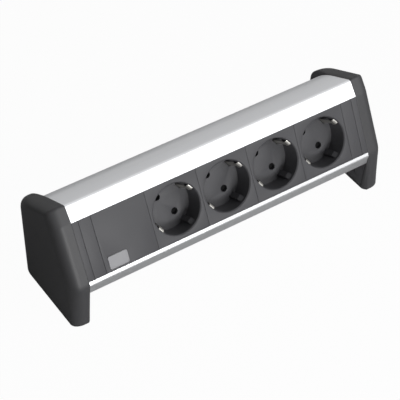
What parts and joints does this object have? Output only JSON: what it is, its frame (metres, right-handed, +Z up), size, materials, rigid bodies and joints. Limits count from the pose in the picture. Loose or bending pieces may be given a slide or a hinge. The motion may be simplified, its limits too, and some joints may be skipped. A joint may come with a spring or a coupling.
{
  "type": "desk power strip",
  "caption": "Desk power strip: a leaning aluminium housing between two dark end caps, with round earthed sockets, a blank module and shutters behind the pin holes.",
  "frame": {"origin": "centre of the footprint, on the surface the strip stands on", "axes": "+X along the strip, to the right as seen from the front; +Y to the back; +Z up"},
  "size_m": [0.279, 0.0809, 0.0945],
  "materials": {
    "anodised_aluminium": "satin",
    "badge_face": "satin",
    "grey_plastic": "matte",
    "cap_plastic": "matte",
    "black_plastic": "matte",
    "foot_rubber": "matte",
    "spring_steel": "satin",
    "screw_steel": "satin",
    "pale_plastic": "satin",
    "bar_brass": "satin",
    "brown_insulation": "satin",
    "blue_insulation": "satin",
    "green_insulation": "satin"
  },
  "bodies": {
    "strip": {"housing_profile": "anodised_aluminium", "left_end_plate": "grey_plastic", "right_end_plate": "grey_plastic", "left_cap_cover": "cap_plastic", "right_cap_cover": "cap_plastic", "end_plate_screws": "screw_steel", "rubber_feet": "foot_rubber", "left_filler": "grey_plastic", "right_filler": "grey_plastic", "blank_module": "grey_plastic", "badge": "badge_face", "socket_1": "grey_plastic", "socket_2": "grey_plastic", "socket_3": "grey_plastic", "socket_4": "grey_plastic", "earth_clip_1": "spring_steel", "earth_clip_2": "spring_steel", "earth_clip_3": "spring_steel", "earth_clip_4": "spring_steel", "shutter_spring_1": "spring_steel", "shutter_spring_2": "spring_steel", "shutter_spring_3": "spring_steel", "shutter_spring_4": "spring_steel", "socket_back_1": "black_plastic", "socket_back_2": "black_plastic", "socket_back_3": "black_plastic", "socket_back_4": "black_plastic", "socket_back_screws": "screw_steel", "line_bar": "bar_brass", "neutral_bar": "bar_brass", "earth_bar": "bar_brass", "line_lead": "brown_insulation", "neutral_lead": "blue_insulation", "earth_lead": "green_insulation", "terminal_block": "pale_plastic", "terminal_screws": "screw_steel", "terminal_block_screws": "screw_steel", "cable_gland": "black_plastic", "gland_nut": "black_plastic"},
    "shutter_1_disc": {"shutter_1": "black_plastic"},
    "shutter_2_disc": {"shutter_2": "black_plastic"},
    "shutter_3_disc": {"shutter_3": "black_plastic"},
    "shutter_4_disc": {"shutter_4": "black_plastic"}
  },
  "joints": [
    {"name": "shutter_1_turn", "type": "hinge", "parent": "strip", "child": "shutter_1_disc", "pos_m": [-0.044, -0.009, 0.05295], "axis": [0, 0.9003, -0.4352], "range_deg": [0, 40], "stiffness_Nm_per_rad": 0.004, "springref_deg": -22.92},
    {"name": "shutter_2_turn", "type": "hinge", "parent": "strip", "child": "shutter_2_disc", "pos_m": [0, -0.009, 0.05295], "axis": [0, 0.9003, -0.4352], "range_deg": [0, 40], "stiffness_Nm_per_rad": 0.004, "springref_deg": -22.92},
    {"name": "shutter_3_turn", "type": "hinge", "parent": "strip", "child": "shutter_3_disc", "pos_m": [0.044, -0.009, 0.05295], "axis": [0, 0.9003, -0.4352], "range_deg": [0, 40], "stiffness_Nm_per_rad": 0.004, "springref_deg": -22.92},
    {"name": "shutter_4_turn", "type": "hinge", "parent": "strip", "child": "shutter_4_disc", "pos_m": [0.088, -0.009, 0.05295], "axis": [0, 0.9003, -0.4352], "range_deg": [0, 40], "stiffness_Nm_per_rad": 0.004, "springref_deg": -22.92}
  ]
}
